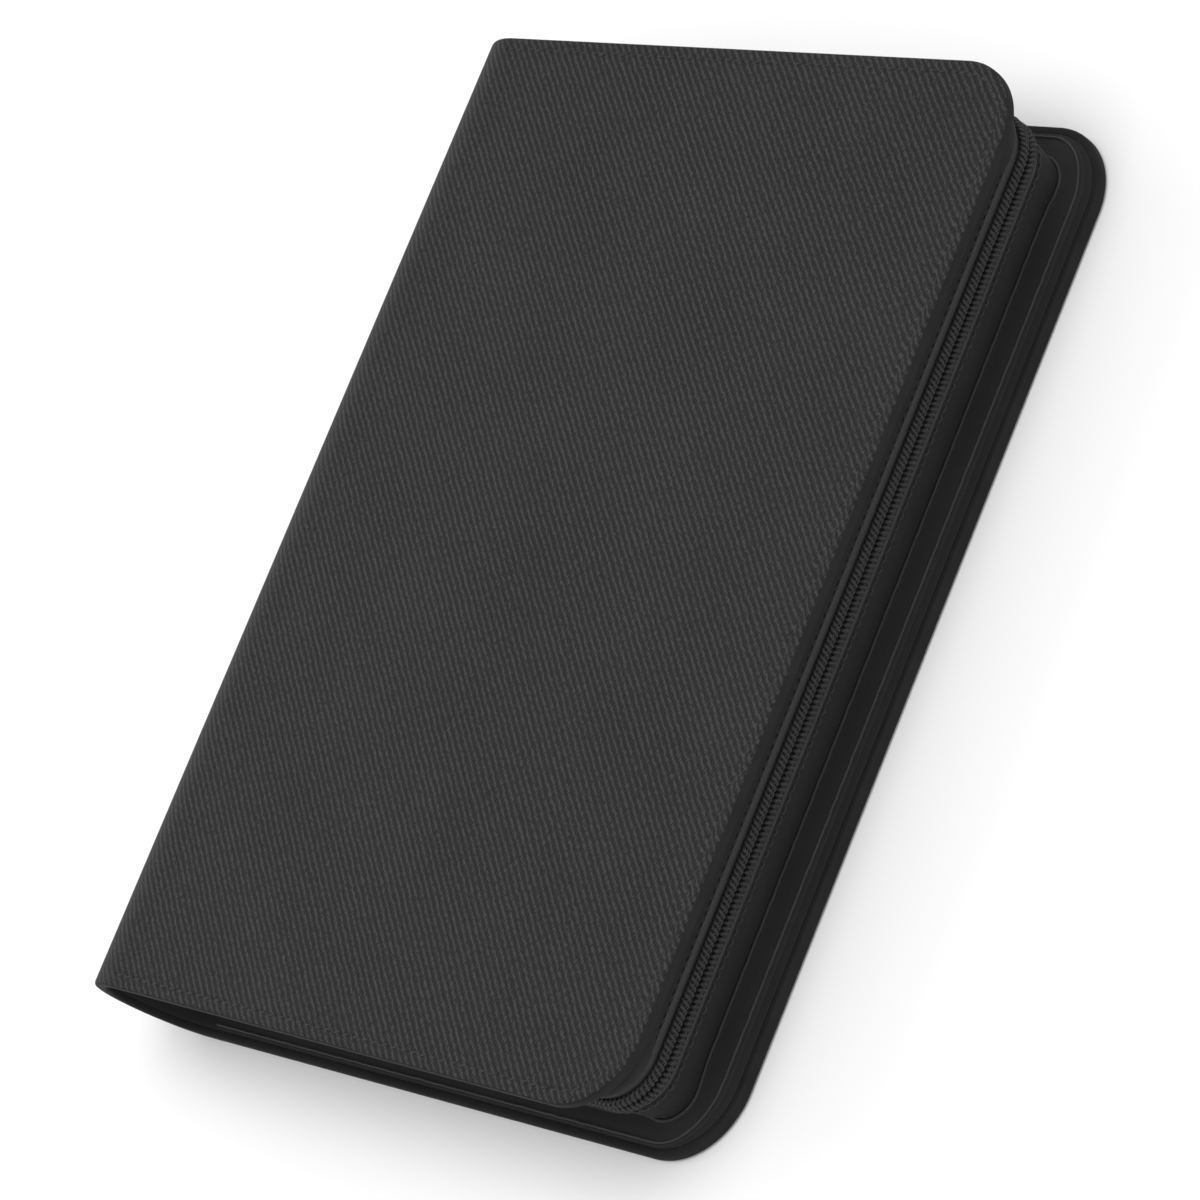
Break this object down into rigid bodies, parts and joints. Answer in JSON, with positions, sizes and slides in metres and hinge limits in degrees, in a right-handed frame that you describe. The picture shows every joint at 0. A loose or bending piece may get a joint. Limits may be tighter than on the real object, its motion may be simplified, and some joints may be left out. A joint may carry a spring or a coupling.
{
  "type": "zip-round trading card binder",
  "caption": "Trading card binder with stiff leatherette covers, a soft round spine, side-loading pocket pages and a coil zipper around three sides.",
  "frame": {"origin": "on the outside of the back cover, under the middle of the closed binder", "axes": "+X from the spine to the fore-edge, +Y from the bottom edge to the top edge, +Z from the back cover up to the front cover"},
  "size_m": [0.1918, 0.249, 0.0344],
  "materials": {
    "leatherette": "charcoal leatherette embossed with a fine diagonal twill, satin",
    "lining": "smooth matt black lining",
    "board": "stiff plastic core board",
    "spine_lining": "thin padding faced with matt black lining",
    "gusset": "smooth black gusset cloth",
    "zip_tape": "woven black zipper tape",
    "zip_coil": "black nylon coil, slight sheen",
    "zip_metal": "black enamelled die-cast metal",
    "page_sheet": "black backing sheet with clear side-loading pockets, slight gloss"
  },
  "bodies": {
    "back_cover": {"back_cover_skin": "leatherette", "back_cover_board": "board", "back_cover_lining": "lining", "back_gusset": "gusset", "back_zip_tape": "zip_tape", "back_zip_coil": "zip_coil", "back_end_stop": "zip_metal"},
    "front_cover": {"front_cover_skin": "leatherette", "front_cover_board": "board", "front_cover_lining": "lining", "front_gusset": "gusset", "front_zip_tape": "zip_tape", "front_zip_coil": "zip_coil", "front_end_stop": "zip_metal"},
    "slider": {"zip_slider": "zip_metal"},
    "pull": {"pull_tab": "zip_metal"},
    "spine_1": {"spine_skin_1": "leatherette", "spine_padding_1": "spine_lining"},
    "spine_2": {"spine_skin_2": "leatherette", "spine_padding_2": "spine_lining"},
    "spine_3": {"spine_skin_3": "leatherette", "spine_padding_3": "spine_lining"},
    "spine_4": {"spine_skin_4": "leatherette", "spine_padding_4": "spine_lining"},
    "spine_5": {"spine_skin_5": "leatherette", "spine_padding_5": "spine_lining"},
    "page_01": {"page_01": "page_sheet"},
    "page_02": {"page_02": "page_sheet"},
    "page_03": {"page_03": "page_sheet"},
    "page_04": {"page_04": "page_sheet"},
    "page_05": {"page_05": "page_sheet"},
    "page_06": {"page_06": "page_sheet"},
    "page_07": {"page_07": "page_sheet"},
    "page_08": {"page_08": "page_sheet"},
    "page_09": {"page_09": "page_sheet"},
    "page_10": {"page_10": "page_sheet"},
    "page_11": {"page_11": "page_sheet"},
    "page_12": {"page_12": "page_sheet"},
    "page_13": {"page_13": "page_sheet"},
    "page_14": {"page_14": "page_sheet"},
    "page_15": {"page_15": "page_sheet"},
    "page_16": {"page_16": "page_sheet"},
    "page_17": {"page_17": "page_sheet"},
    "page_18": {"page_18": "page_sheet"},
    "page_19": {"page_19": "page_sheet"},
    "page_20": {"page_20": "page_sheet"}
  },
  "joints": [
    {"name": "spine_fold_1", "type": "hinge", "parent": "back_cover", "child": "spine_1", "pos_m": [-0.07871, 0, 0], "axis": [0, -1, 0], "range_deg": [0, 18]},
    {"name": "spine_fold_2", "type": "hinge", "parent": "spine_1", "child": "spine_2", "pos_m": [-0.08881, 0, 0.00328], "axis": [0, -1, 0], "range_deg": [0, 36]},
    {"name": "binder_open", "type": "hinge", "parent": "spine_2", "child": "spine_3", "pos_m": [-0.09505, 0, 0.01187], "axis": [0, -1, 0], "range_deg": [0, 36]},
    {"name": "spine_fold_4", "type": "hinge", "parent": "spine_3", "child": "spine_4", "pos_m": [-0.09505, 0, 0.02248], "axis": [0, -1, 0], "range_deg": [0, 36]},
    {"name": "spine_fold_5", "type": "hinge", "parent": "spine_4", "child": "spine_5", "pos_m": [-0.08881, 0, 0.03107], "axis": [0, -1, 0], "range_deg": [0, 36]},
    {"name": "spine_fold_6", "type": "hinge", "parent": "spine_5", "child": "front_cover", "pos_m": [-0.07871, 0, 0.03435], "axis": [0, -1, 0], "range_deg": [0, 18]},
    {"name": "page_turn_01", "type": "hinge", "parent": "spine_1", "child": "page_01", "pos_m": [-0.08142, 0, 0.00423], "axis": [0, -1, 0], "range_deg": [-10.01, 0]},
    {"name": "page_turn_02", "type": "hinge", "parent": "spine_1", "child": "page_02", "pos_m": [-0.0851, 0, 0.00559], "axis": [0, -1, 0], "range_deg": [-4.68, 0]},
    {"name": "page_turn_03", "type": "hinge", "parent": "spine_2", "child": "page_03", "pos_m": [-0.08711, 0, 0.00696], "axis": [0, -1, 0], "range_deg": [-35.34, 0]},
    {"name": "page_turn_04", "type": "hinge", "parent": "spine_2", "child": "page_04", "pos_m": [-0.08853, 0, 0.00832], "axis": [0, -1, 0], "range_deg": [-30.01, 0]},
    {"name": "page_turn_05", "type": "hinge", "parent": "spine_2", "child": "page_05", "pos_m": [-0.08961, 0, 0.00968], "axis": [0, -1, 0], "range_deg": [-24.68, 0]},
    {"name": "page_turn_06", "type": "hinge", "parent": "spine_2", "child": "page_06", "pos_m": [-0.09043, 0, 0.01104], "axis": [0, -1, 0], "range_deg": [-19.34, 0]},
    {"name": "page_turn_07", "type": "hinge", "parent": "spine_2", "child": "page_07", "pos_m": [-0.09105, 0, 0.01241], "axis": [0, -1, 0], "range_deg": [-14.01, 0]},
    {"name": "page_turn_08", "type": "hinge", "parent": "spine_3", "child": "page_08", "pos_m": [-0.09149, 0, 0.01377], "axis": [0, -1, 0], "range_deg": [-44.68, 0]},
    {"name": "page_turn_09", "type": "hinge", "parent": "spine_3", "child": "page_09", "pos_m": [-0.09178, 0, 0.01513], "axis": [0, -1, 0], "range_deg": [-39.34, 0]},
    {"name": "page_turn_10", "type": "hinge", "parent": "spine_3", "child": "page_10", "pos_m": [-0.09192, 0, 0.01649], "axis": [0, -1, 0], "range_deg": [-34.01, 0]},
    {"name": "page_turn_11", "type": "hinge", "parent": "spine_3", "child": "page_11", "pos_m": [-0.09192, 0, 0.01786], "axis": [0, -1, 0], "range_deg": [0, 34.01]},
    {"name": "page_turn_12", "type": "hinge", "parent": "spine_3", "child": "page_12", "pos_m": [-0.09178, 0, 0.01922], "axis": [0, -1, 0], "range_deg": [0, 39.34]},
    {"name": "page_turn_13", "type": "hinge", "parent": "spine_3", "child": "page_13", "pos_m": [-0.09149, 0, 0.02058], "axis": [0, -1, 0], "range_deg": [0, 44.68]},
    {"name": "page_turn_14", "type": "hinge", "parent": "spine_4", "child": "page_14", "pos_m": [-0.09105, 0, 0.02194], "axis": [0, -1, 0], "range_deg": [0, 14.01]},
    {"name": "page_turn_15", "type": "hinge", "parent": "spine_4", "child": "page_15", "pos_m": [-0.09043, 0, 0.02331], "axis": [0, -1, 0], "range_deg": [0, 19.34]},
    {"name": "page_turn_16", "type": "hinge", "parent": "spine_4", "child": "page_16", "pos_m": [-0.08961, 0, 0.02467], "axis": [0, -1, 0], "range_deg": [0, 24.68]},
    {"name": "page_turn_17", "type": "hinge", "parent": "spine_4", "child": "page_17", "pos_m": [-0.08853, 0, 0.02603], "axis": [0, -1, 0], "range_deg": [0, 30.01]},
    {"name": "page_turn_18", "type": "hinge", "parent": "spine_4", "child": "page_18", "pos_m": [-0.08711, 0, 0.02739], "axis": [0, -1, 0], "range_deg": [0, 35.34]},
    {"name": "page_turn_19", "type": "hinge", "parent": "spine_5", "child": "page_19", "pos_m": [-0.0851, 0, 0.02876], "axis": [0, -1, 0], "range_deg": [0, 4.68]},
    {"name": "page_turn_20", "type": "hinge", "parent": "spine_5", "child": "page_20", "pos_m": [-0.08142, 0, 0.03012], "axis": [0, -1, 0], "range_deg": [0, 10.01]},
    {"name": "zip_slide", "type": "slide", "parent": "back_cover", "child": "slider", "axis": [1, 0, 0], "range_m": [0, 0.1372]},
    {"name": "pull_swing", "type": "hinge", "parent": "slider", "child": "pull", "pos_m": [-0.06846, 0.12155, 0.01717], "axis": [0, 0, 1], "range_deg": [0, 175]}
  ],
  "couplings": [
    {"joint": "spine_fold_1", "follows": "binder_open", "ratio": 0.5},
    {"joint": "spine_fold_2", "follows": "binder_open", "ratio": 1},
    {"joint": "spine_fold_4", "follows": "binder_open", "ratio": 1},
    {"joint": "spine_fold_5", "follows": "binder_open", "ratio": 1},
    {"joint": "spine_fold_6", "follows": "binder_open", "ratio": 0.5},
    {"joint": "page_turn_01", "follows": "binder_open", "ratio": -0.27778},
    {"joint": "page_turn_02", "follows": "binder_open", "ratio": -0.12963},
    {"joint": "page_turn_03", "follows": "binder_open", "ratio": -0.98148},
    {"joint": "page_turn_04", "follows": "binder_open", "ratio": -0.83333},
    {"joint": "page_turn_05", "follows": "binder_open", "ratio": -0.68519},
    {"joint": "page_turn_06", "follows": "binder_open", "ratio": -0.53704},
    {"joint": "page_turn_07", "follows": "binder_open", "ratio": -0.38889},
    {"joint": "page_turn_08", "follows": "binder_open", "ratio": -1.2407},
    {"joint": "page_turn_09", "follows": "binder_open", "ratio": -1.0926},
    {"joint": "page_turn_10", "follows": "binder_open", "ratio": -0.94444},
    {"joint": "page_turn_11", "follows": "binder_open", "ratio": 0.94444},
    {"joint": "page_turn_12", "follows": "binder_open", "ratio": 1.0926},
    {"joint": "page_turn_13", "follows": "binder_open", "ratio": 1.2407},
    {"joint": "page_turn_14", "follows": "binder_open", "ratio": 0.38889},
    {"joint": "page_turn_15", "follows": "binder_open", "ratio": 0.53704},
    {"joint": "page_turn_16", "follows": "binder_open", "ratio": 0.68519},
    {"joint": "page_turn_17", "follows": "binder_open", "ratio": 0.83333},
    {"joint": "page_turn_18", "follows": "binder_open", "ratio": 0.98148},
    {"joint": "page_turn_19", "follows": "binder_open", "ratio": 0.12963},
    {"joint": "page_turn_20", "follows": "binder_open", "ratio": 0.27778}
  ]
}
